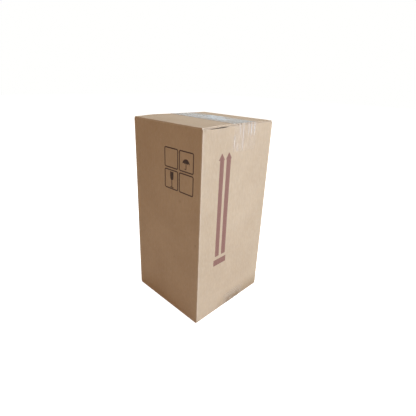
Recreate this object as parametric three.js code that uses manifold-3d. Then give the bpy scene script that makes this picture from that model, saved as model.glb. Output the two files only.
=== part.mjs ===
import * as THREE from "three";
import { mergeVertices } from "three/addons/utils/BufferGeometryUtils.js";
import Module from "manifold-3d";

// A tall carton of corrugated board, folded from one blank and glued along one upright edge.
// Strips of clear tape close the seam of the outer flaps, one on top and one underneath.
// The origin is the middle of the underside, +Z is up, and both seams run along X.

// Sizes of the folded carton, in millimetres
const WIDTH = 147; // over the two walls that carry the inner flaps
const DEPTH = 152; // over the two walls that carry the outer flaps
const HEIGHT = 300; // over the outer flaps
const BOARD = 3; // thickness of the board
const BEND = 0.5; // radius left on the inner side of every fold
const SEAM = 1.5; // opening between the edges of two outer flaps
const INNER_PARTING = 3; // opening between the edges of two inner flaps
const FLAP_GAP = 0.3; // air between an outer flap and the inner flaps behind it
const OUTER_INSET = 1.5; // from a wall's face to the end of an outer flap
const INNER_CLEARANCE = 0.5; // from the side of an inner flap to the upright fold beside it
const SLOT_RELIEF = 0.3; // how far a slot runs in past the fold of an outer flap
const LINER = 0.45; // solid paper on each face of the board
const CORE_DEPTH = 1; // how far the open core goes in from a cut edge
const CORE_MARGIN = 4; // where the open core stops short of an edge's end

// Sizes of the glued tab
const TAB_REACH = 30; // from the corner to the tab's free edge
const TAB_SETBACK = 11; // how far the tab stops below the top and above the underside
const TAB_TAPER = 8; // what each end of the tab loses towards its free edge
const TAB_EDGE_INSET = 1; // from the wall's face to the raw edge that covers the tab's fold
const GLUE_BITE = 0.05; // how deep the glued faces share their paper

// Sizes of the tape
const TAPE_WIDTH = 50;
const TAPE_OFFSET = 9.5; // from the seam to the middle of the tape
const TAPE_FILM = 0.1; // film with its adhesive
const TAPE_GAP = 0.15; // air between the film and the board
const TAPE_EDGE_GAP = 0.5; // board pressed in beyond each edge of the lower tape
const TOP_TAPE_LEG = 38.5; // from the top of the carton to the end of the tape
const BOTTOM_TAPE_LEG = 23; // from the underside of the carton to the end of the tape

const FOLD_FLATS = 8; // flats round a fold
const SPARE = 2; // how far a cutting block runs past what it cuts
const SAME_POINT = 1e-4; // corners closer than this are one corner

// Sizes that follow from those above
const FOLD = BEND + BOARD; // radius on the outer side of every fold
const HALF_WIDTH = WIDTH / 2;
const HALF_DEPTH = DEPTH / 2;
const PANEL_HALF_X = HALF_WIDTH - FOLD; // flat half width of the walls with outer flaps
const PANEL_HALF_Y = HALF_DEPTH - FOLD; // flat half width of the walls with inner flaps
const OUTER_HALF = HALF_WIDTH - OUTER_INSET; // half the length of the seam
const INNER_HALF = PANEL_HALF_Y - INNER_CLEARANCE;
const INNER_DROP = BOARD + FLAP_GAP; // from the top of the carton to an inner flap
const OUTER_SCORE = HEIGHT - FOLD; // where the fold of an outer flap starts
const INNER_SCORE = OUTER_SCORE - INNER_DROP;
const WALL_TOP = OUTER_SCORE - SLOT_RELIEF;
const TAB_FACE = HALF_WIDTH - BOARD + GLUE_BITE; // from the middle to the tab's glued face
const TAPE_SEAT = TAPE_GAP + TAPE_FILM;

const UP = new THREE.Vector3(0, 0, 1);
const wasm = await Module();
wasm.setup();

// Closed geometry as a solid that can be joined and cut
function solid(geometry) {
  const bare = new THREE.BufferGeometry();
  bare.setAttribute("position", geometry.getAttribute("position"));
  bare.setIndex(geometry.index);
  const merged = mergeVertices(bare, SAME_POINT);
  const mesh = new wasm.Mesh({
    numProp: 3,
    vertProperties: merged.getAttribute("position").array,
    triVerts: new Uint32Array(merged.index.array),
  });
  return new wasm.Manifold(mesh);
}

function joined(geometries) {
  return geometries.map(solid).reduce((whole, piece) => whole.add(piece));
}

function meshOf(name, shape, material) {
  const { vertProperties, triVerts } = shape.getMesh();
  const geometry = new THREE.BufferGeometry();
  geometry.setAttribute("position", new THREE.BufferAttribute(vertProperties, 3));
  geometry.setIndex(new THREE.BufferAttribute(triVerts, 1));
  geometry.computeVertexNormals();
  const mesh = new THREE.Mesh(geometry, material);
  mesh.name = name;
  return mesh;
}

// A block between two corners
function block(low, high) {
  const size = new THREE.Vector3().subVectors(high, low);
  const middle = new THREE.Vector3().addVectors(low, high).multiplyScalar(0.5);
  return new THREE.BoxGeometry(size.x, size.y, size.z).translate(middle.x, middle.y, middle.z);
}

// A section pushed through a length that starts at a given place on the axis it runs along.
// The section's first axis is the row's Y for a run along X, and the row's X for the others.
function run(section, axis, start, length) {
  const geometry = new THREE.ExtrudeGeometry(section, { depth: length, bevelEnabled: false });
  const turn = new THREE.Matrix4();
  if (axis === "x") turn.makeBasis(new THREE.Vector3(0, 1, 0), UP, new THREE.Vector3(1, 0, 0));
  if (axis === "y") turn.makeBasis(new THREE.Vector3(1, 0, 0), UP, new THREE.Vector3(0, -1, 0));
  geometry.applyMatrix4(turn);
  if (axis === "x") return geometry.translate(start, 0, 0);
  if (axis === "y") return geometry.translate(0, start + length, 0);
  return geometry.translate(0, 0, start);
}

// The section of a board whose outer face runs through the given corners. The board lies on the
// left of that path, and it is folded towards the left at every corner between the two ends.
function foldedBoard(...points) {
  const corners = points.map(([x, y]) => new THREE.Vector2(x, y));
  const ways = corners.slice(1).map((to, i) => to.clone().sub(corners[i]).normalize());
  const inward = (corner, way) => new THREE.Vector2(corner.x - way.y * BOARD, corner.y + way.x * BOARD);
  const arcs = (radius) =>
    ways.slice(1).flatMap((way, i) => {
      const { x, y } = corners[i + 1].clone().addScaledVector(ways[i], -FOLD).addScaledVector(way, FOLD);
      const from = Math.atan2(-way.y, -way.x);
      return new THREE.EllipseCurve(x, y, radius, radius, from, from + Math.PI / 2).getPoints(FOLD_FLATS);
    });
  const first = corners[0];
  const last = corners[corners.length - 1];
  const outer = [first, ...arcs(FOLD), last];
  const inner = [inward(first, ways[0]), ...arcs(BEND), inward(last, ways[ways.length - 1])];
  return new THREE.Shape([...outer, ...inner.reverse()]);
}

// The section of a film that lies on the left of a path with bends of any angle
function film(...points) {
  const path = points.map(([x, y]) => new THREE.Vector2(x, y));
  const sides = path.slice(1).map((to, i) => {
    const way = to.clone().sub(path[i]).normalize();
    return new THREE.Vector2(-way.y, way.x);
  });
  const outer = path.map((point, i) => {
    const before = sides[Math.max(i - 1, 0)];
    const after = sides[Math.min(i, sides.length - 1)];
    const mitre = before.clone().add(after).normalize();
    return point.clone().addScaledVector(mitre, TAPE_FILM / mitre.dot(after));
  });
  return new THREE.Shape([...path, ...outer.reverse()]);
}

// The upright walls: three folded corners, then the glued tab inside the fourth
function walls() {
  const rawEdge = HALF_DEPTH - TAB_EDGE_INSET;
  const low = HEIGHT - WALL_TOP;
  const round = foldedBoard(
    [-HALF_WIDTH, rawEdge],
    [-HALF_WIDTH, -HALF_DEPTH],
    [HALF_WIDTH, -HALF_DEPTH],
    [HALF_WIDTH, HALF_DEPTH],
    [0, HALF_DEPTH],
  );
  const tab = foldedBoard(
    [SPARE, HALF_DEPTH],
    [-TAB_FACE, HALF_DEPTH],
    [-TAB_FACE, HALF_DEPTH - TAB_REACH],
  );
  const shell = solid(run(round, "z", low, WALL_TOP - low));
  const trimmedTab = solid(run(tab, "z", low, WALL_TOP - low)).subtract(joined(tabTrims()));
  return shell.add(trimmedTab).subtract(joined([...scoreNotches(), rawEdgeCore(rawEdge)]));
}

// What the tab loses at its two ends, so that it clears the inner flaps and tapers
function tabTrims() {
  const fold = HALF_DEPTH - FOLD;
  const free = HALF_DEPTH - TAB_REACH - SPARE;
  const end = [
    [fold, 0],
    [free, 0],
    [free, TAB_SETBACK + TAB_TAPER],
    [fold, TAB_SETBACK],
  ];
  return [0, HEIGHT].map((level) => {
    const outline = end.map(([y, z]) => new THREE.Vector2(y, Math.abs(level - z)));
    return run(new THREE.Shape(outline), "x", -TAB_FACE - SPARE, BOARD + 2 * SPARE);
  });
}

// Where the walls with inner flaps end lower than the others
function scoreNotches() {
  const notches = [];
  for (const side of [-1, 1]) {
    const xs = [side * (HALF_WIDTH - BOARD - SPARE), side * (HALF_WIDTH + SPARE)];
    for (const [bottom, top] of [[-SPARE, HEIGHT - INNER_SCORE], [INNER_SCORE, HEIGHT]])
      notches.push(
        block(
          new THREE.Vector3(Math.min(...xs), -PANEL_HALF_Y, bottom),
          new THREE.Vector3(Math.max(...xs), PANEL_HALF_Y, top),
        ),
      );
  }
  return notches;
}

// The open core that shows in the raw edge over the tab's fold
function rawEdgeCore(rawEdge) {
  return block(
    new THREE.Vector3(-HALF_WIDTH + LINER, rawEdge - CORE_DEPTH, FOLD + CORE_MARGIN),
    new THREE.Vector3(-HALF_WIDTH + BOARD - LINER, rawEdge + SPARE, OUTER_SCORE - CORE_MARGIN),
  );
}

// An upper outer flap on the wall at -Y, with its fold and a little of the wall. Its fold rests on
// the wall only between two places along X, and hangs free past them.
function outerFlap(from, to) {
  const section = foldedBoard(
    [-SEAM / 2, HEIGHT],
    [-HALF_DEPTH, HEIGHT],
    [-HALF_DEPTH, INNER_SCORE],
  );
  const cuts = [];
  for (const [near, far] of [[-HALF_WIDTH, from], [to, HALF_WIDTH]])
    cuts.push(
      block(
        new THREE.Vector3(near, -HALF_DEPTH - SPARE, INNER_SCORE - SPARE),
        new THREE.Vector3(far, -HALF_DEPTH + FOLD, OUTER_SCORE),
      ),
    );
  for (const side of [-1, 1]) {
    const xs = [side * (OUTER_HALF - CORE_DEPTH), side * HALF_WIDTH];
    cuts.push(
      block(
        new THREE.Vector3(Math.min(...xs), -PANEL_HALF_Y, HEIGHT - BOARD + LINER),
        new THREE.Vector3(Math.max(...xs), -SEAM / 2 - CORE_MARGIN, HEIGHT - LINER),
      ),
    );
  }
  return solid(run(section, "x", -OUTER_HALF, 2 * OUTER_HALF)).subtract(joined(cuts));
}

// An upper inner flap on the wall at +X
function innerFlap() {
  const level = HEIGHT - INNER_DROP;
  const section = foldedBoard(
    [HALF_WIDTH, INNER_SCORE - SPARE],
    [HALF_WIDTH, level],
    [INNER_PARTING / 2, level],
  );
  return solid(run(section, "y", -INNER_HALF, 2 * INNER_HALF));
}

// Half a turn about an upright or a level axis through the middle of the carton
function halfTurn(shape, axis) {
  const geometry = meshOf("piece", shape, new THREE.MeshStandardMaterial()).geometry;
  if (axis === "z") return solid(geometry.rotateZ(Math.PI));
  if (axis === "x") return solid(geometry.rotateX(Math.PI).translate(0, 0, HEIGHT));
  return solid(geometry.rotateY(Math.PI).translate(0, 0, HEIGHT));
}

function carton() {
  const tabEnd = TAB_FACE - FOLD; // where the glued wall stops being flat
  const front = outerFlap(-PANEL_HALF_X, PANEL_HALF_X);
  const backTop = halfTurn(outerFlap(-PANEL_HALF_X, tabEnd), "z");
  const backBottom = halfTurn(outerFlap(-tabEnd, PANEL_HALF_X), "x");
  const inner = innerFlap();
  const flaps = [front, halfTurn(front, "y"), backTop, backBottom, inner];
  for (const axis of ["x", "y", "z"]) flaps.push(halfTurn(inner, axis));
  const whole = flaps.reduce((sum, flap) => sum.add(flap), walls());
  return whole.subtract(solid(tapeRecess()));
}

// The shallow bed that the lower tape is pressed into, flush with the underside
function tapeRecess() {
  const half = TAPE_WIDTH / 2 + TAPE_EDGE_GAP;
  return block(
    new THREE.Vector3(-HALF_WIDTH - SPARE, TAPE_OFFSET - half, -SPARE),
    new THREE.Vector3(HALF_WIDTH + SPARE, TAPE_OFFSET + half, TAPE_SEAT),
  );
}

// A strip of tape over flaps whose face is at height 0, with a leg down each wall. It bridges
// the step from the end of the outer flap to the start of the fold in the wall.
function tape(leg) {
  const wall = HALF_WIDTH + TAPE_GAP;
  const edge = OUTER_HALF + TAPE_GAP;
  const bend = INNER_SCORE - HEIGHT;
  const section = film(
    [-wall, -leg],
    [-wall, bend],
    [-edge, TAPE_GAP],
    [edge, TAPE_GAP],
    [wall, bend],
    [wall, -leg],
  );
  return run(section, "y", TAPE_OFFSET - TAPE_WIDTH / 2, TAPE_WIDTH);
}

const kraft = new THREE.MeshStandardMaterial({ color: 0xc9ab8a, roughness: 0.9, metalness: 0 });
const clearFilm = new THREE.MeshStandardMaterial({
  color: 0xe4e2dc,
  roughness: 0.2,
  metalness: 0,
  transparent: true,
  opacity: 0.4,
});

const topTape = tape(TOP_TAPE_LEG).translate(0, 0, HEIGHT);
const bottomTape = tape(BOTTOM_TAPE_LEG).rotateY(Math.PI).translate(0, 0, TAPE_SEAT);

const box = new THREE.Group();
box.add(meshOf("carton", carton(), kraft));
box.add(meshOf("top_tape", solid(topTape), clearFilm.clone()));
box.add(meshOf("bottom_tape", solid(bottomTape), clearFilm.clone()));

export default box;
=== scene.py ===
import math
from itertools import product

import bmesh
import bpy
from mathutils import Matrix, Vector


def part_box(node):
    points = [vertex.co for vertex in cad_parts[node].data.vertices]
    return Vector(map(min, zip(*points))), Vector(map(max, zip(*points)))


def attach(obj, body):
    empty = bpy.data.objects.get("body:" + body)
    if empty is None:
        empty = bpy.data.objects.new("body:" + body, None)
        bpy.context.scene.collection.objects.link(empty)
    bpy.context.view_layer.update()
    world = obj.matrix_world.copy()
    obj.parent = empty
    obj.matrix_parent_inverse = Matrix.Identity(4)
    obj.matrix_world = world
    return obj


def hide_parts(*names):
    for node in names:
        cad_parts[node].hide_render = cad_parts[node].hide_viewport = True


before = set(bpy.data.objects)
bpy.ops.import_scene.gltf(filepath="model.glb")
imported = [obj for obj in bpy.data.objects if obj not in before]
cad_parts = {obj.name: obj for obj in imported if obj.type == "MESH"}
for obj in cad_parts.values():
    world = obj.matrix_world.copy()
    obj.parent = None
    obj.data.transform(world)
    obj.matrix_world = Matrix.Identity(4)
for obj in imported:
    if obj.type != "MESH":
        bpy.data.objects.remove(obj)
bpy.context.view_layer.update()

MM = 0.001

# The carton's outside, from the frame
CARTON_LOW, CARTON_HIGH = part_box("carton")
TAPE_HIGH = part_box("top_tape")[1]
TOP = CARTON_HIGH.z
HALF_X = CARTON_HIGH.x / MM
HALF_Y = CARTON_HIGH.y / MM
HALF_Z = TOP / MM / 2

# The board and its folds
BOARD = 3 * MM
FOLD = 3.5 * MM  # outer radius of every fold
FLAP_INSET = 1.5 * MM  # how far an outer flap ends short of the wall
FLAP_GAP = 0.3 * MM  # air between an outer flap and the inner flaps
TAB_EDGE_INSET = 1 * MM  # how far the raw edge at the glued corner stands back
OUTER_HALF = CARTON_HIGH.x - FLAP_INSET
FOLD_X = CARTON_HIGH.x - FOLD
FOLD_Y = CARTON_HIGH.y - FOLD
OUTER_FOLD_Z = TOP - FOLD
INNER_FOLD_Z = TOP - BOARD - FLAP_GAP - FOLD
CREASE = 0.8  # 0 keeps a fold round and 1 makes it square
ON_FOLD = 0.01 * MM  # a point this close to a fold's arc is on it
CELL = 5 * MM  # grid that lets the board bend
FOLD_EDGE = 0.4 * MM  # a flat face turns smooth only this close to a fold
SAME_POINT = 0.002 * MM  # corners closer than this are joined
BOARD_TURN, STRIP_TURN = 35, 60  # degrees from face to face that make a sharp edge
FLAT_WITHIN = math.radians(0.5)  # faces that turn less than this are one flat face
ON_CUT = 1e-6  # a point this close to a cut is on it

# The ridge of the wall's fold beside the end of an outer flap
RIDGE = 1.7 * MM  # how far it stands up
RIDGE_RISE = 1.2 * MM  # it rises over this length beyond the flap's end
RIDGE_SUNK = 1.15 * MM  # how much lower it is where the front flap bows up
RIDGE_STARTS = INNER_FOLD_Z - 8 * MM
RIDGE_Z = INNER_FOLD_Z + FOLD + RIDGE

# How the closed carton has settled
FLAP_LIFT = 1.1 * MM  # how far the front flap bows up in front of the tape
SEAM_LIFT = 0.6 * MM  # what is left of that where the tape holds the seam down
LIFT_STARTS = 3 * MM  # from the front wall
LIFT_PEAK = 37 * MM  # from the front wall
SLIT_ENDS = 50 * MM  # from the front wall, where the tape pulls the flap down
FAR_LIFT_ENDS = 0.9  # share of the far flap over which its lift fades
FLAP_TOP_ROOM = 0.05 * MM  # the bowed flap stays this far under the carton's full height
IN_FLAP = 0.05 * MM  # a point this close to a top flap's underside belongs to it
FLAP_END_ROOM = 0.2 * MM  # the lift reaches this far beyond the flap's end
SAG = 0.45 * MM  # how far the walls are drawn in between their folds
RIPPLE_LEVEL, RIPPLE_DEPTH = 0.6, 0.4  # the sag varies between 0.2 and 1 of its full depth
RIPPLE_X = (31, 17, 0.7)  # radians for each metre up the wall and along it, and the start
RIPPLE_Y = (27, -23, 2.1)
INK_ROOM = 0.08 * MM  # the front and back wall stand back this far, to make room for ink

# Tape
TAPE_SKEW = 9.5 * MM  # the top tape runs this much askew from wall to wall
TAPE_CELL = 2.5 * MM  # grid that lets the tape bend
TOOTH_WIDTH = 1.8 * MM  # the dispenser's blade leaves teeth this wide on the tape's ends
TOOTH_DEPTH = 0.8 * MM

# The fluted core that shows in the cut edges
FLUTE_LENGTH = 7  # millimetres from flute to flute
CORE_HEIGHT = 2.05 * MM  # between the two liners
CORE_DEPTH = 0.65 * MM  # how far in from a cut edge the core shows
CORE_WAVE = 0.18 * MM
CORE_PAPER = 0.25 * MM
CORE_CELL = 0.8 * MM  # length of one facet along a strip of the core
FLAP_CORE = (4.9 * MM, 72.3 * MM)  # from and to along a flap's edge
WALL_CORE = (10 * MM, 290 * MM)  # from and to up the raw edge of the wall

# The camera, at the photo's angle
FRAME_PIXELS = 416
FOCAL_PIXELS = 307.8
CENTRE_PIXELS = (200.4, 196.3)
CAMERA_PLACE = (336.6 * MM, -343.8 * MM, 352.9 * MM)
YAW, PITCH, ROLL = (math.radians(angle) for angle in (44.44, 20.76, 1.94))
SENSOR = 36

# Light
WORLD_LIGHT = (0.270, 0.195, 0.130, 1)
WORLD_WHITE = (1.0, 1.0, 0.99, 1)
FLOOR_HALF = 6  # metres from the carton to the floor's edge
FLOOR_GLOW = (0.09, 0.06, 0.034, 1)
FLOOR_WHITE = (0.95, 0.96, 0.97, 1)
LAMPS_AIM = (0, 0, 0.15)
# Soft lamps: name, place and width in metres, power, colour
LAMPS = (
    ("window", (1.7, 0.2, 0.7), 1.0, 44, (0.54, 0.745, 1.0)),
    ("ceiling", (-0.1, 0.4, 1.9), 1.2, 22, (0.69, 0.87, 1.0)),
    ("far_window", (-1.6, 1.7, 0.95), 1.3, 3.2, (0.86, 0.95, 1.0)),
    ("room", (-0.6, -1.8, 0.5), 1.2, 1.4, (1.0, 0.80, 0.6)),
)

# Printed marks, measured in millimetres across and up from the middle of the underside
INK_THICKNESS = 0.1 * MM
INK_SUNK = 0.06 * MM  # how far the printed layer goes into the paper
PRINT_CELL = 5  # grid that lets the print follow the board
SAME_CORNER = 0.005  # shorter edges than this are taken out
MARK_LINE = 1.7
MARK_SIZE = 29.3
MARK_ROUND = 2.9
MARK_COLUMNS = (13.5, 44.6)
MARK_ROWS = (251.8, 220.5)
UMBRELLA_PLACE = (44.3, 248.4)
CANOPY = 7.2  # radius
SCALLOPS = (-4.8, 0.0, 4.8)  # middles of the three scallops
SCALLOP_WIDTH, SCALLOP_RISE = 2.4, 1.4  # radii
STEM_HALF, STEM_TOP, STEM_FOOT = 0.6, 1.33, 5.48  # half width, and reach up and down
HOOK_ASIDE, HOOK_DOWN = 1.4, 5.5
HOOK_OUTER, HOOK_INNER, HOOK_TURN = 2.0, 0.8, -160
GLASS_MIDDLE, GLASS_TOP = 14.7, 232.0
RIM_HALF, WAIST_HALF, WAIST_DOWN = 3.7, 3.6, 7
BOWL_DOWN, BOWL_WIDTH, BOWL_DEPTH = 8.5, 3.4, 4.0
GLASS_STEM_HALF, GLASS_STEM_DOWN, GLASS_STEM_FOOT = 0.8, 12.5, 209.42
FOOT_HALF, FOOT_LOW, FOOT_HIGH = 3.6, 208.2, 209.4
# The arrows' shafts from and to, and their heads from and to
ARROWS = (
    (-41.2, -32.8, -43.9, -31.4),
    (-27.6, -18.6, -29.4, -16.8),
)
ARROW_FOOT, ARROW_NECK, ARROW_TIP = 105.2, 254.3, 263.6
BAR = ((-43.8, 89.4), (-16.6, 89.4), (-16.6, 99.6), (-43.8, 99.6))  # its corners

# How much of the board each layer of the tape covers
HIGHLIGHT_COVER = 0.55  # painted white highlight where the film doesn't touch the board
# the top's film is greyer as a painted reflection
TOP_REFLECTION_COVER = 0.20
LEG_COVER = 0.025
# the painted shade low on the lower tape's leg
FOOT_SHADE_COVER = 0.14
# painted shadow along the top tape's near edge
EDGE_SHADOW_COVER = 0.7
SHADOWED_EDGE = (-13.6, -12.2)  # across the top tape, where the painted shadow along its near edge is full and ended
GRAINY_ALONG = (26, 74, 12)  # from, to and how softly it fades
GRAINY_ACROSS = (4, 34, 6)
GRAINY = 0.45
# painted highlight bands on the top of the tape
HIGHLIGHT_BANDS = 0.3
FOOT_LEG = (2, 20)  # up the lower tape's leg, full and ended
FOOT_LEG_ACROSS = (-8, 28, 8)
LEG_STARTS = (2.8, 1.2)  # inwards from the wall's face, where a leg starts and is full
# how strongly the painted shade low on the lower tape's leg shows
LEG_FOOT_SHADE_STRENGTH = 1.5

# Painted highlight streaks and patches in the film
STREAK_WANDER = 0.8  # to either side
STREAK_SOFT, STREAK_END_SOFT = 0.7, 5
PATCH_WANDER = 8  # to either side along the tape
PATCH_WANDER_ACROSS = 0.3  # share of that across the tape
PATCH_SOFT, PATCH_SOFT_ACROSS = 5, 2.5

# Strengths of what varies the board's colour
MOTTLING = 0.35
FIBRES = 0.25
FLECKS = 0.3
SCUFFS = 0.15
FLUTES = 0.03
# pale wear and painted highlight along the folds
WEAR_AND_HIGHLIGHT = 0.45
# painted shade of the small dents on the front wall
DENT_SHADE = 0.4
TOP_FLECK = 0.7
EDGE_WEAR_AND_HIGHLIGHT = (3.5, 0.6)  # millimetres from a wall's face where the pale wear and painted highlight of a fold start and are full
RIM_WEAR_AND_HIGHLIGHT = (5, 2)  # the same from the top and the underside
# Painted shade at the foot of the wall with the arrows: height, reach across, wall and how dark
FOOT_SHADE_HEIGHT = 33
FOOT_SHADE_ACROSS = (-22, 80, 22)  # from, to and how softly it fades
FOOT_SHADE_WALL = (60, 72)  # along X, so only the wall with the arrows gets the painted shade at its foot
FOOT_SHADE_LEAST, FOOT_SHADE_VARIES = 0.5, 0.6
WEAR_AND_HIGHLIGHT_LEAST = 0.4  # share of the wear and painted highlight that is left where the liner is least worn
FRONT_ENDS = (-60, -40)  # along Y, where the painted shade of the front wall's dents is full and ended
TOP_STARTS = (200, 250)  # up the carton, where the top's flecks start and are full
FLUTE_WANDER = 1.5  # how far the rows of flutes stray
INK_WEAR, INK_FLUTES = 0.5, 0.15  # how much of the ink is worn, and worn over the flutes

# Relief in millimetres, roughness and sheen
FLUTE_RELIEF, FIBRE_RELIEF, WAVE_RELIEF = 0.012, 0.03, 0.25
STREAK_RELIEF, BAND_RELIEF = 0.15, 0.2
PAPER_ROUGHNESS, PAPER_VARIES = 0.55, 0.15
FILM_ROUGHNESS, FILM_VARIES = 0.15, 0.15
LEG_ROUGHNESS = 0.3  # added where the painted shade lies low on the lower tape's leg
PAPER_SHEEN, INK_SHEEN = 0.4, 0.35
FLOOR_ROUGHNESS = 0.9

# Colours of the board, the inks and the tape
KRAFT_DEEP = (0.470, 0.305, 0.180, 1)
KRAFT_PALE = (0.520, 0.345, 0.210, 1)
KRAFT_GREY = (0.450, 0.305, 0.195, 1)
KRAFT_LIGHT = (0.640, 0.470, 0.330, 1)
# painted shade at the foot of the wall with the arrows
KRAFT_FOOT_SHADE = (0.315, 0.190, 0.095, 1)
KRAFT_DARK = (0.290, 0.180, 0.100, 1)
# painted grey reflection on the top of the tape
TAPE_REFLECTION_GREY = (0.68, 0.71, 0.70, 1)
# painted white highlights in the tape
TAPE_HIGHLIGHT_WHITE = (0.86, 0.90, 0.93, 1)
TAPE_PALE = (0.92, 0.79, 0.70, 1)
# painted shadow along the top tape's near edge
TAPE_EDGE_SHADOW = (0.30, 0.16, 0.11, 1)
# painted shade low on the lower tape's leg
LEG_FOOT_SHADE = (0.34, 0.22, 0.12, 1)
BLACK_INK = ((0.06, 0.033, 0.027, 1), (0.16, 0.10, 0.07, 1))  # fresh and worn
RED_INK = ((0.235, 0.095, 0.066, 1), (0.31, 0.165, 0.115, 1))
FLOOR_TONES = ((0.75, 0.67, 0.58, 1), (0.78, 0.70, 0.61, 1))

# Painted white highlight streaks on the tape's legs: place across, width, lower end, upper end,
# strength
LEG_HIGHLIGHT_STREAKS = (
    (-14.0, 3.5, 267, 283, 0.22),
    (-6.5, 4.0, 263, 272, 0.18),
    (-2.8, 1.4, 285, 299, 0.40),
    (1.3, 0.8, 266, 294, 0.10),
    (4.8, 2.2, 264, 297, 0.38),
    (16.0, 1.4, 284, 299, 0.55),
    (22.8, 1.8, 282, 299, 0.60),
    (30.0, 2.2, 284, 299, 0.60),
)
# Painted white highlights on the top of the tape: from and to along it, from and to across it,
# strength
TOP_HIGHLIGHTS = (
    (-22, 16, 18, 34, 0.9),
    (2, 38, -3, 14, 1.0),
    (-72, 5, 4, 15, 0.45),
    (-50, -5, -12, -4, 0.4),
)
# Dark flecks beside the tape: place along and across the top, size
TOP_FLECKS = ((-2, -15.5, 2.0), (43, -16.0, 1.6))
# Painted shade of small dents on the front wall: place across and up, size
DENT_SHADES = ((32.5, 191.5, 1.6), (66.0, 134.0, 1.8), (20.0, 96.0, 1.2))


def smoothstep(low, high, value):
    share = min(max((value - low) / (high - low), 0.0), 1.0)
    return share * share * (3 - 2 * share)


# Shape of the settled board

def flap_lift(y):
    """How far an outer top flap stands above its fold at a distance along Y."""
    front = y - CARTON_LOW.y
    seam = -CARTON_LOW.y
    if y < 0:
        rise = smoothstep(LIFT_STARTS, LIFT_PEAK, front)
        fall = smoothstep(LIFT_PEAK, seam, front)
        return FLAP_LIFT * rise - (FLAP_LIFT - SEAM_LIFT) * fall
    return SEAM_LIFT * (1 - smoothstep(0, seam * FAR_LIFT_ENDS, y))


def creased(u, v, centre_u, centre_v):
    """Squares up a round fold about its centre, as a scored and crushed fold is."""
    out_u, out_v = u - centre_u, v - centre_v
    reach = math.hypot(out_u, out_v)
    if reach > FOLD + ON_FOLD:
        return u, v
    squarer = (reach / max(out_u, out_v)) ** CREASE
    return centre_u + out_u * squarer, centre_v + out_v * squarer


def folded(point):
    """Where a point of the round-folded carton lies with crushed folds."""
    x, y, z = (abs(value) for value in point)
    upper = point.z > TOP / 2
    z = z if upper else TOP - z
    glued_corner = point.x < 0 < point.y
    if y > FOLD_Y and z > OUTER_FOLD_Z:
        y, z = creased(y, z, FOLD_Y, OUTER_FOLD_Z)
    elif x > FOLD_X and y > FOLD_Y and not glued_corner:
        x, y = creased(x, y, FOLD_X, FOLD_Y)
    elif x > FOLD_X and z > INNER_FOLD_Z:
        x, z = creased(x, z, FOLD_X, INNER_FOLD_Z)
    front = point.y - CARTON_LOW.y
    slit_opens = smoothstep(LIFT_STARTS, LIFT_PEAK / 2, front)
    slit_closes = smoothstep(LIFT_PEAK, SLIT_ENDS, front)
    sunk = RIDGE_SUNK * (slit_opens * (1 - slit_closes)) if upper else 0
    at_end = smoothstep(OUTER_HALF, OUTER_HALF + RIDGE_RISE, x)
    z += (RIDGE - sunk) * at_end * smoothstep(RIDGE_STARTS, INNER_FOLD_Z, z)
    return Vector((math.copysign(x, point.x), math.copysign(y, point.y), z if upper else TOP - z))


def bulged(point):
    """Where a point of a tape lies, which leaves the wall only at the ridge of the wall's fold."""
    reach = abs(point.x)
    upper = point.z > TOP / 2
    height = point.z if upper else TOP - point.z
    if height > INNER_FOLD_Z and reach > OUTER_HALF:
        end = TAPE_HIGH.z if upper else TOP
        leans_in = (height - INNER_FOLD_Z) / (end - INNER_FOLD_Z)
        over_ridge = max(0, height - RIDGE_Z) / (end - RIDGE_Z)
        reach += FLAP_INSET * (leans_in - over_ridge)
    askew = TAPE_SKEW * (TAPE_HIGH.x - point.x) / (2 * TAPE_HIGH.x) if upper else 0
    return Vector((math.copysign(reach, point.x), point.y + askew, point.z))


def ripple(waves, z, along):
    """How unevenly a wall is drawn in at a height and a place along it."""
    up_wall, along_wall, start = waves
    return RIPPLE_LEVEL + RIPPLE_DEPTH * math.sin(up_wall * z + along_wall * along + start)


def settled(point):
    """Where a point of the carton lies once it is packed and taped."""
    x, y, z = point
    place = Vector(point)
    upright = math.sin(math.pi * min(max(z / TOP, 0), 1))
    across_x = math.cos(0.5 * math.pi * x / CARTON_HIGH.x)
    across_y = math.cos(0.5 * math.pi * y / CARTON_HIGH.y)
    if abs(y) > FOLD_Y:
        place.y -= math.copysign(SAG * upright * across_x * ripple(RIPPLE_X, z, x), y)
    if abs(x) > FOLD_X:
        place.x -= math.copysign(SAG * upright * across_y * ripple(RIPPLE_Y, z, y), x)
    place.y *= 1 - INK_ROOM / CARTON_HIGH.y
    place.z *= 1 - (FLAP_LIFT + FLAP_TOP_ROOM) / TOP
    if z > TOP - BOARD - IN_FLAP and abs(x) < OUTER_HALF + FLAP_END_ROOM:
        place.z += flap_lift(y)
    return place


# Building

def mesh_object(name, bm, material):
    mesh = bpy.data.meshes.new(name)
    bm.to_mesh(mesh)
    bm.free()
    mesh.materials.append(material)
    made = bpy.data.objects.new(name, mesh)
    bpy.context.scene.collection.objects.link(made)
    return made


def mesh_piece(name, bm, material):
    piece = mesh_object(name, bm, material)
    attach(piece, "root")
    return piece


def copy_of(node):
    """The mesh of a CAD node with its corners joined and its flat faces whole."""
    bm = bmesh.new()
    bm.from_mesh(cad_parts[node].data)
    bmesh.ops.remove_doubles(bm, verts=bm.verts, dist=SAME_POINT)
    bmesh.ops.dissolve_limit(
        bm, angle_limit=FLAT_WITHIN, verts=bm.verts, edges=bm.edges, delimit={"NORMAL"}
    )
    return bm


def slice_across(bm, axis, places):
    """Cuts every face where it crosses one of the given places along an axis."""
    normal = Vector((0, 0, 0))
    normal[axis] = 1
    for place in places:
        everything = list(bm.verts) + list(bm.edges) + list(bm.faces)
        bmesh.ops.bisect_plane(
            bm, geom=everything, plane_co=normal * place, plane_no=normal, dist=ON_CUT
        )


def evenly(low, high, step):
    count = max(1, round((high - low) / step))
    return [low + (high - low) * i / count for i in range(1, count)]


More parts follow.
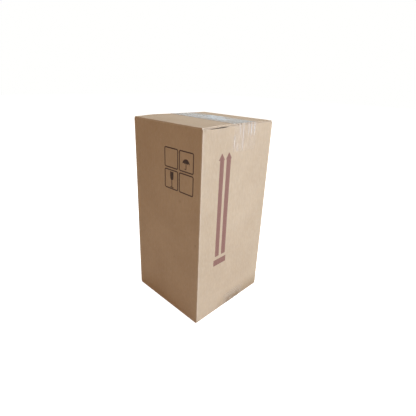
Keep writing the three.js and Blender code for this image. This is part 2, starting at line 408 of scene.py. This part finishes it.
def settle(bm, first):
    for vert in bm.verts:
        vert.co = settled(first(vert.co))


def soften(bm, angle):
    """Smooth faces, with sharp edges only where the surface turns quickly."""
    bm.normal_update()
    for face in bm.faces:
        face.smooth = True
    for edge in bm.edges:
        edge.smooth = len(edge.link_faces) == 2 and edge.calc_face_angle(0) < math.radians(angle)


# Shaders

class Field:
    """A number, colour or vector that varies over a surface."""

    def __init__(self, tree, socket):
        self.tree = tree
        self.socket = socket

    def math(self, operation, *values):
        settings = {"operation": operation}
        return add_node(self.tree, "ShaderNodeMath", settings, dict(enumerate(values)))

    def __add__(self, other):
        return self.math("ADD", self, other)

    def __radd__(self, other):
        return self.math("ADD", other, self)

    def __sub__(self, other):
        return self.math("SUBTRACT", self, other)

    def __rsub__(self, other):
        return self.math("SUBTRACT", other, self)

    def __mul__(self, other):
        return self.math("MULTIPLY", self, other)

    def __rmul__(self, other):
        return self.math("MULTIPLY", other, self)

    def step(self, low, high):
        """0 below low and 1 above high, with a soft rise between."""
        settings = {"interpolation_type": "SMOOTHSTEP"}
        inputs = {"Value": self, "From Min": low, "From Max": high}
        return add_node(self.tree, "ShaderNodeMapRange", settings, inputs)

    def size(self):
        return self.math("ABSOLUTE", self)

    def wave(self, length):
        """-1 to 1 and back over a length."""
        return self.math("SINE", self * (2 * math.pi / length))

    def band(self, low, high, soft):
        """1 between low and high, fading out over soft on either side."""
        return self.step(low - soft, low + soft) * (1 - self.step(high - soft, high + soft))


def fill(tree, place, value):
    if isinstance(value, Field):
        tree.links.new(value.socket, place)
    else:
        place.default_value = value


def add_node(tree, kind, settings, inputs, output=0):
    """Adds a node, with its settings first and then the values or links of its sockets."""
    node = tree.nodes.new(kind)
    for name, value in settings.items():
        setattr(node, name, value)
    for name, value in inputs.items():
        fill(tree, node.inputs[name], value)
    return node if output is None else Field(tree, node.outputs[output])


class Nodes:
    """The nodes of a material or a world."""

    def __init__(self, owner):
        owner.use_nodes = True
        self.owner = owner
        self.tree = owner.node_tree

    def node(self, *description):
        return add_node(self.tree, *description)

    def blend(self, share, first, second):
        settings = {"data_type": "RGBA", "clamp_factor": True}
        return self.node("ShaderNodeMix", settings, {0: share, 6: first, 7: second}, 2)

    def seen(self):
        """1 where the camera looks straight at it and 0 for the light it gives."""
        return self.node("ShaderNodeLightPath", {}, {}, "Is Camera Ray")


class Paint(Nodes):
    """The nodes of one material, with its place in millimetres."""

    def __init__(self, name):
        super().__init__(bpy.data.materials.new(name))
        self.shader = self.tree.nodes["Principled BSDF"]
        place = self.node("ShaderNodeTexCoord", {}, {}, "Object")
        scale = {"operation": "SCALE"}
        self.place = self.node("ShaderNodeVectorMath", scale, {0: place, "Scale": 1 / MM}, "Vector")
        parts = self.node("ShaderNodeSeparateXYZ", {}, {0: self.place}, None)
        self.x, self.y, self.z = (Field(self.tree, socket) for socket in parts.outputs)

    def noise(self, size, detail=3, stretch=(1, 1, 1), roughness=0.55):
        """Noise from 0 to 1 whose patches are about size millimetres, longer along stretch."""
        scaled = self.node(
            "ShaderNodeVectorMath",
            {"operation": "DIVIDE"},
            {0: self.place, 1: [size * axis for axis in stretch]},
            "Vector",
        )
        inputs = {"Vector": scaled, "Scale": 1.0, "Detail": detail, "Roughness": roughness}
        return self.node("ShaderNodeTexNoise", {}, inputs, "Fac")

    def surface(self, **inputs):
        for name, value in inputs.items():
            fill(self.tree, self.shader.inputs[name.replace("_", " ")], value)

    def bump(self, height):
        inputs = {"Height": height, "Distance": 1.0, "Strength": 1.0}
        return self.node("ShaderNodeBump", {}, inputs, "Normal")


def flute_rows(paint):
    """The faint rows that the fluted core shows through the liner: -1 to 1."""
    normal = paint.node("ShaderNodeTexCoord", {}, {}, "Normal")
    parts = paint.node("ShaderNodeSeparateXYZ", {}, {0: normal}, None)
    on_side = Field(paint.tree, parts.outputs[0]).size().step(0.6, 0.8)
    across = paint.x * (1 - on_side) + paint.y * on_side
    return (across + paint.noise(30, 1) * FLUTE_WANDER).wave(FLUTE_LENGTH)


def fold_wear_and_highlight(paint):
    """1 along the carton's folded edges, where the liner is stretched pale and the rounded fold gets
    a painted highlight, and 0 elsewhere.
    """
    near_x = paint.x.size().step(HALF_X - EDGE_WEAR_AND_HIGHLIGHT[0], HALF_X - EDGE_WEAR_AND_HIGHLIGHT[1])
    near_y = paint.y.size().step(HALF_Y - EDGE_WEAR_AND_HIGHLIGHT[0], HALF_Y - EDGE_WEAR_AND_HIGHLIGHT[1])
    near_z = (paint.z - HALF_Z).size().step(HALF_Z - RIM_WEAR_AND_HIGHLIGHT[0], HALF_Z - RIM_WEAR_AND_HIGHLIGHT[1])
    uprights = near_x * near_y
    ends = near_y * near_z
    rims = near_x * near_z
    patchy = paint.noise(9, 3).step(0.3, 0.65)
    return (uprights + ends + rims) * (WEAR_AND_HIGHLIGHT_LEAST + (1 - WEAR_AND_HIGHLIGHT_LEAST) * patchy)


def kraft_colour(paint, rows):
    """The liner's colour: clouds, fibres, flecks, scuffs, painted shade at the foot, painted shade
    of small dents, and worn liner with a painted highlight along the folds.
    """
    cloudy = paint.noise(60, 4)
    mottled = paint.noise(7, 4)
    fibres = paint.noise(1.1, 2, (1, 1, 6))
    flecks = paint.noise(0.8, 1).step(0.70, 0.80)
    scuffs = paint.noise(14, 5, (1, 1, 0.4)).step(0.62, 0.75)
    tone = paint.blend(cloudy.step(0.3, 0.7), KRAFT_DEEP, KRAFT_PALE)
    tone = paint.blend(mottled.step(0.35, 0.7) * MOTTLING, tone, KRAFT_GREY)
    tone = paint.blend(fibres.step(0.35, 0.75) * FIBRES, tone, KRAFT_LIGHT)
    tone = paint.blend(flecks * FLECKS, tone, KRAFT_DARK)
    tone = paint.blend(scuffs * SCUFFS, tone, KRAFT_LIGHT)
    tone = paint.blend(rows.step(-1, 1) * FLUTES, tone, KRAFT_DARK)
    foot = (1 - paint.z.step(0, FOOT_SHADE_HEIGHT)) * paint.x.step(*FOOT_SHADE_WALL)
    # painted shade at the foot of the wall with the arrows
    painted_foot_shade = foot * paint.y.band(*FOOT_SHADE_ACROSS)
    tone = paint.blend(painted_foot_shade * (mottled * FOOT_SHADE_VARIES + FOOT_SHADE_LEAST), tone, KRAFT_FOOT_SHADE)
    # painted shade of small dents on the front wall
    for x, z, size in DENT_SHADES:
        reach = paint.x.band(x - size, x + size, size) * paint.z.band(z - size, z + size, size)
        tone = paint.blend(reach * (1 - paint.y.step(*FRONT_ENDS)) * DENT_SHADE, tone, KRAFT_DARK)
    for x, y, size in TOP_FLECKS:
        half = size / 2
        reach = paint.x.band(x - size, x + size, size) * paint.y.band(y - half, y + half, half)
        tone = paint.blend(reach * paint.z.step(*TOP_STARTS) * TOP_FLECK, tone, KRAFT_DARK)
    # pale worn liner and a painted highlight along the folds
    return paint.blend(fold_wear_and_highlight(paint) * WEAR_AND_HIGHLIGHT, tone, KRAFT_LIGHT)


def board_relief(paint, rows):
    fibres = paint.noise(0.6, 3, (1, 1, 4))
    waves = paint.noise(16, 2)
    height = rows * FLUTE_RELIEF + fibres * FIBRE_RELIEF + waves * WAVE_RELIEF
    return paint.bump(height * MM)


def kraft_board():
    paint = Paint("kraft_board")
    rows = flute_rows(paint)
    paint.surface(
        Base_Color=kraft_colour(paint, rows),
        Roughness=paint.noise(3, 2) * PAPER_VARIES + PAPER_ROUGHNESS,
        Normal=board_relief(paint, rows),
        Specular_IOR_Level=PAPER_SHEEN,
    )
    return paint.owner


def ink(name, dark, light):
    paint = Paint(name)
    rows = flute_rows(paint)
    worn = paint.noise(1.6, 3).step(0.45, 0.75) * INK_WEAR + rows.step(0.2, 1) * INK_FLUTES
    paint.surface(
        Base_Color=paint.blend(worn, dark, light),
        Roughness=paint.noise(3, 2) * PAPER_VARIES + PAPER_ROUGHNESS,
        Normal=board_relief(paint, rows),
        Specular_IOR_Level=INK_SHEEN,
    )
    return paint.owner


def leg_highlight_streaks(paint):
    """Painted white highlight streaks on the tape's legs, where it bridges small creases."""
    wander = paint.noise(9, 0, (1, 1, 12)) * (2 * STREAK_WANDER) - STREAK_WANDER
    streaks = 0
    for y, width, low, high, strength in LEG_HIGHLIGHT_STREAKS:
        across = (paint.y + wander).band(y - width / 2, y + width / 2, STREAK_SOFT)
        streak = across * paint.z.band(low, high, STREAK_END_SOFT)
        streaks = streak * strength + streaks
    return streaks


def across_tape(paint):
    """The place across the top tape, which runs a little askew."""
    slope = TAPE_SKEW / MM / (2 * HALF_X)
    return paint.y + (paint.x - HALF_X) * slope


def top_highlights(paint):
    """Painted white highlights on the top of the tape, where it doesn't touch the board."""
    wander = paint.noise(9, 4) * (2 * PATCH_WANDER) - PATCH_WANDER
    streaky = paint.noise(4, 4, (9, 0.7, 1)).step(0.38, 0.6) * 0.75 + 0.25
    patches = 0
    for low_x, high_x, low_y, high_y, strength in TOP_HIGHLIGHTS:
        along = (paint.x + wander).band(low_x, high_x, PATCH_SOFT)
        across = across_tape(paint) + wander * PATCH_WANDER_ACROSS
        patch = along * across.band(low_y, high_y, PATCH_SOFT_ACROSS)
        patches = patch * strength + patches
    return patches * streaky


def clear_tape():
    """Clear film with a painted grey reflection on the top, painted white highlights in patches on
    the top and in streaks on the legs, a painted shadow along the top's near edge and painted shade
    low on the lower leg.
    """
    paint = Paint("clear_tape")
    on_leg = paint.x.size().step(HALF_X - LEG_STARTS[0], HALF_X - LEG_STARTS[1])
    on_top = 1 - on_leg
    # painted shade low on the lower tape's leg
    shaded_low_leg = on_leg * (1 - paint.z.step(*FOOT_LEG)) * paint.y.band(*FOOT_LEG_ACROSS)
    shaded_low_leg = shaded_low_leg * paint.noise(12, 2).step(0.15, 0.6)
    streaks = paint.noise(5, 3, (1, 0.5, 6))
    bands = paint.noise(6, 4, (7, 0.5, 1))
    grain = paint.noise(2.5, 4).step(0.4, 0.75)
    grainy = paint.x.band(*GRAINY_ALONG) * across_tape(paint).band(*GRAINY_ACROSS) * grain * GRAINY
    # painted white highlights on the top and on the legs
    painted_top_highlights = on_top * (top_highlights(paint) + bands.step(0.5, 0.7) * HIGHLIGHT_BANDS + grainy)
    painted_highlights = painted_top_highlights + on_leg * leg_highlight_streaks(paint)
    # painted shadow along the top tape's near edge
    painted_edge_shadow = (1 - across_tape(paint).step(*SHADOWED_EDGE)) * on_top
    painted_edge_shadow = painted_edge_shadow * paint.noise(20, 2).step(0.3, 0.5) * EDGE_SHADOW_COVER
    # painted grey reflection on the top, painted white highlights, pale legs
    colour = paint.blend(on_leg, paint.blend(painted_highlights, TAPE_REFLECTION_GREY, TAPE_HIGHLIGHT_WHITE), TAPE_PALE)
    edge_shadowed = paint.blend(painted_edge_shadow, colour, TAPE_EDGE_SHADOW)
    cover = painted_highlights * HIGHLIGHT_COVER + on_top * TOP_REFLECTION_COVER + on_leg * LEG_COVER
    relief = streaks * STREAK_RELIEF + bands * on_top * BAND_RELIEF
    paint.surface(
        Base_Color=paint.blend(shaded_low_leg * LEG_FOOT_SHADE_STRENGTH, edge_shadowed, LEG_FOOT_SHADE),
        Roughness=paint.noise(6, 2) * FILM_VARIES + FILM_ROUGHNESS + shaded_low_leg * LEG_ROUGHNESS,
        Alpha=cover + painted_edge_shadow + shaded_low_leg * FOOT_SHADE_COVER,
        Normal=paint.bump(relief * MM),
    )
    return paint.owner


# The carton and its tapes

def carton_board(board):
    bm = copy_of("carton")
    for axis in range(3):
        slice_across(bm, axis, evenly(CARTON_LOW[axis], CARTON_HIGH[axis], CELL))
    slice_across(bm, 0, (-FOLD_X + FOLD_EDGE, FOLD_X - FOLD_EDGE))
    slice_across(bm, 1, (-FOLD_Y + FOLD_EDGE, FOLD_Y - FOLD_EDGE))
    slice_across(bm, 2, (FOLD + FOLD_EDGE, TOP - INNER_FOLD_Z + FOLD_EDGE, INNER_FOLD_Z - FOLD_EDGE))
    settle(bm, folded)
    soften(bm, BOARD_TURN)
    piece = mesh_piece("carton_board", bm, board)
    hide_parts("carton")


def core_strip(bm, low, high, depth, turn):
    """A wavy strip of the core, from low to high along it, that shows in a cut edge."""
    count = round((high - low) / CORE_CELL)
    made = bmesh.ops.create_grid(bm, x_segments=count, y_segments=2, size=0.5)["verts"]
    middle = (low + high) / 2
    for vert in made:
        run = middle + vert.co.x * (high - low)
        wave = CORE_WAVE * math.sin(2 * math.pi * run / (FLUTE_LENGTH * MM))
        vert.co = turn(run, vert.co.y * CORE_HEIGHT, depth + wave)


def flap_edge(side, end, z):
    """Places a strip in the cut edge at one end of an outer flap."""
    return lambda run, up, x: Vector((end * x, side * run, z + up))


def wall_edge(x):
    """Places a strip in the raw edge of the wall at the glued corner."""
    return lambda run, up, y: Vector((x + up, y, run))


def cut_edge_cores(board):
    """The core that shows between the two liners along the board's open cut edges."""
    bm = bmesh.new()
    middle = BOARD / 2
    for side, end, z in product((-1, 1), (-1, 1), (middle, TOP - middle)):
        core_strip(bm, *FLAP_CORE, OUTER_HALF - CORE_DEPTH, flap_edge(side, end, z))
    raw_edge = CARTON_HIGH.y - TAB_EDGE_INSET
    core_strip(bm, *WALL_CORE, raw_edge - CORE_DEPTH, wall_edge(middle - CARTON_HIGH.x))
    for vert in bm.verts:
        vert.co = settled(vert.co)
    bmesh.ops.recalc_face_normals(bm, faces=bm.faces)
    bmesh.ops.solidify(bm, geom=list(bm.faces), thickness=CORE_PAPER)
    soften(bm, STRIP_TURN)
    piece = mesh_piece("cut_edge_cores", bm, board)


def tape_film(node, film):
    """One strip of tape, with its ends cut in teeth."""
    bm = copy_of(node)
    low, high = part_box(node)
    slice_across(bm, 0, evenly(low.x, high.x, TAPE_CELL))
    teeth = [low.y, *evenly(low.y, high.y, TOOTH_WIDTH / 2), high.y]
    slice_across(bm, 1, teeth[1:-1])
    slice_across(bm, 2, evenly(low.z, high.z, TAPE_CELL))
    slice_across(bm, 2, (TOP - RIDGE_Z, RIDGE_Z))
    end = low.z if node == "top_tape" else high.z
    for vert in bm.verts:
        tooth = min(range(len(teeth)), key=lambda i: abs(teeth[i] - vert.co.y))
        if abs(vert.co.z - end) < ON_FOLD and tooth % 2:
            vert.co.z += math.copysign(TOOTH_DEPTH, end - TOP / 2)
    settle(bm, bulged)
    soften(bm, STRIP_TURN)
    piece = mesh_piece(node + "_film", bm, film)
    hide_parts(node)


# Printed marks

def on_front(u, v, depth):
    """A point of the wall that faces -Y, from millimetres across and up it."""
    return Vector((u * MM, CARTON_LOW.y - depth, v * MM))


def on_side(u, v, depth):
    """A point of the wall that faces +X, from millimetres across and up it."""
    return Vector((CARTON_HIGH.x + depth, u * MM, v * MM))


def printed(name, bm, wall, material):
    """Prints flat outlines, given as a bmesh in millimetres across and up, on a wall."""
    for axis in (0, 1):
        low = min(vert.co[axis] for vert in bm.verts)
        high = max(vert.co[axis] for vert in bm.verts)
        slice_across(bm, axis, evenly(low, high, PRINT_CELL))
    bmesh.ops.dissolve_degenerate(bm, dist=SAME_CORNER, edges=bm.edges)
    flat = list(bm.faces)
    raised = bmesh.ops.extrude_face_region(bm, geom=flat, use_keep_orig=True)["geom"]
    tops = {item for item in raised if isinstance(item, bmesh.types.BMVert)}
    for vert in bm.verts:
        depth = INK_THICKNESS - INK_SUNK if vert in tops else -INK_SUNK
        vert.co = settled(wall(vert.co.x, vert.co.y, depth))
    bmesh.ops.recalc_face_normals(bm, faces=bm.faces)
    piece = mesh_piece(name, bm, material)


def outline(bm, points):
    bm.faces.new([bm.verts.new((u, v, 0)) for u, v in points])


def rectangle(bm, low_u, high_u, low_v, high_v):
    outline(bm, [(low_u, high_v), (low_u, low_v), (high_u, low_v), (high_u, high_v)])


def arc(u, v, radius_u, radius_v, start, end, steps):
    angles = [math.radians(start + (end - start) * i / steps) for i in range(steps + 1)]
    return [(u + radius_u * math.cos(a), v + radius_v * math.sin(a)) for a in angles]


def rounded_frame(bm, u, v):
    """A square ring with round corners about a middle."""
    made = bmesh.ops.create_grid(bm, x_segments=1, y_segments=1, size=MARK_SIZE / 2)["verts"]
    bmesh.ops.translate(bm, verts=made, vec=(u, v, 0))
    bmesh.ops.bevel(
        bm, geom=made, offset=MARK_ROUND, segments=5, profile=0.5, affect="VERTICES", material=-1
    )
    face = min(bm.faces, key=lambda f: (f.calc_center_median() - Vector((u, v, 0))).length)
    bmesh.ops.inset_region(
        bm, faces=[face], thickness=MARK_LINE, use_even_offset=True, use_boundary=True
    )
    bmesh.ops.delete(bm, geom=[face], context="FACES_ONLY")


def handling_frames(black):
    bm = bmesh.new()
    for u in MARK_COLUMNS:
        for v in MARK_ROWS:
            rounded_frame(bm, u, v)
    printed("handling_frames", bm, on_front, black)


def umbrella_mark(black):
    bm = bmesh.new()
    u, v = UMBRELLA_PLACE
    canopy = arc(u, v, CANOPY, CANOPY, 0, 180, 20)
    for middle in SCALLOPS:
        scallop = arc(u + middle, v, SCALLOP_WIDTH, SCALLOP_RISE, 180, 0, 8)
        canopy += scallop[1:-1] + [(u + middle + SCALLOP_WIDTH, v)]
    outline(bm, canopy[:-1])
    rectangle(bm, u - STEM_HALF, u + STEM_HALF, v - STEM_FOOT, v + STEM_TOP)
    hook = (u - HOOK_ASIDE, v - HOOK_DOWN)
    outer = arc(*hook, HOOK_OUTER, HOOK_OUTER, 0, HOOK_TURN, 10)
    outline(bm, outer + arc(*hook, HOOK_INNER, HOOK_INNER, HOOK_TURN, 0, 10))
    printed("umbrella_mark", bm, on_front, black)


def glass_mark(black):
    bm = bmesh.new()
    u, top = GLASS_MIDDLE, GLASS_TOP
    waist = top - WAIST_DOWN
    left_side = [(u - RIM_HALF, top), (u - WAIST_HALF, waist)]
    bowl = arc(u, top - BOWL_DOWN, BOWL_WIDTH, BOWL_DEPTH, 180, 360, 14)
    outline(bm, left_side + bowl + [(u + WAIST_HALF, waist), (u + RIM_HALF, top)])
    stem_top = top - GLASS_STEM_DOWN
    rectangle(bm, u - GLASS_STEM_HALF, u + GLASS_STEM_HALF, GLASS_STEM_FOOT, stem_top)
    rectangle(bm, u - FOOT_HALF, u + FOOT_HALF, FOOT_LOW, FOOT_HIGH)
    printed("glass_mark", bm, on_front, black)


def upright_arrows(red):
    bm = bmesh.new()
    for low, high, head_low, head_high in ARROWS:
        outline(
            bm,
            [
                (low, ARROW_FOOT),
                (high, ARROW_FOOT),
                (high, ARROW_NECK),
                (head_high, ARROW_NECK),
                ((head_low + head_high) / 2, ARROW_TIP),
                (head_low, ARROW_NECK),
                (low, ARROW_NECK),
            ],
        )
    outline(bm, BAR)
    printed("upright_arrows", bm, on_side, red)


# Floor, lights and camera

def pale_floor():
    bm = bmesh.new()
    bmesh.ops.create_grid(bm, x_segments=1, y_segments=1, size=FLOOR_HALF)
    paint = Paint("pale_floor")
    shade = paint.noise(400, 2)
    paint.surface(
        Base_Color=paint.blend(shade, *FLOOR_TONES),
        Roughness=FLOOR_ROUGHNESS,
        Emission_Color=paint.blend(paint.seen(), FLOOR_GLOW, FLOOR_WHITE),
        Emission_Strength=1.0,
    )
    floor = mesh_object("pale_floor", bm, paint.owner)


def soft_light(name, place, size, power, colour):
    light = bpy.data.lights.new(name, "AREA")
    light.shape = "DISK"
    light.size = size
    light.energy = power
    light.color = colour
    lamp = bpy.data.objects.new(name, light)
    lamp.location = place
    aim = Vector(LAMPS_AIM) - Vector(place)
    lamp.rotation_euler = aim.to_track_quat("-Z", "Y").to_euler()
    bpy.context.scene.collection.objects.link(lamp)


def studio():
    world = bpy.data.worlds.new("studio")
    bpy.context.scene.world = world
    nodes = Nodes(world)
    backdrop = nodes.blend(nodes.seen(), WORLD_LIGHT, WORLD_WHITE)
    fill(nodes.tree, nodes.tree.nodes["Background"].inputs["Color"], backdrop)
    for lamp in LAMPS:
        soft_light(*lamp)


def camera():
    lens = bpy.data.cameras.new("camera")
    lens.sensor_width = SENSOR
    lens.lens = SENSOR * FOCAL_PIXELS / FRAME_PIXELS
    middle = (FRAME_PIXELS - 1) / 2
    lens.shift_x = (middle - CENTRE_PIXELS[0]) / FRAME_PIXELS
    lens.shift_y = (CENTRE_PIXELS[1] - middle) / FRAME_PIXELS
    level_reach = math.cos(PITCH)
    ahead = Vector((-math.sin(YAW) * level_reach, math.cos(YAW) * level_reach, -math.sin(PITCH)))
    level = Vector((math.cos(YAW), math.sin(YAW), 0))
    above = level.cross(ahead)
    right = math.cos(ROLL) * level + math.sin(ROLL) * above
    up = -math.sin(ROLL) * level + math.cos(ROLL) * above
    seat = Matrix((right, up, -ahead)).transposed().to_4x4()
    seat.translation = Vector(CAMERA_PLACE)
    eye = bpy.data.objects.new("camera", lens)
    eye.matrix_world = seat
    bpy.context.scene.collection.objects.link(eye)
    bpy.context.scene.camera = eye


camera()
board = kraft_board()
black = ink("black_ink", *BLACK_INK)
red = ink("red_ink", *RED_INK)
film = clear_tape()
carton_board(board)
cut_edge_cores(board)
tape_film("top_tape", film)
tape_film("bottom_tape", film)
handling_frames(black)
umbrella_mark(black)
glass_mark(black)
upright_arrows(red)
pale_floor()
studio()
bpy.context.scene.view_settings.view_transform = "Standard"
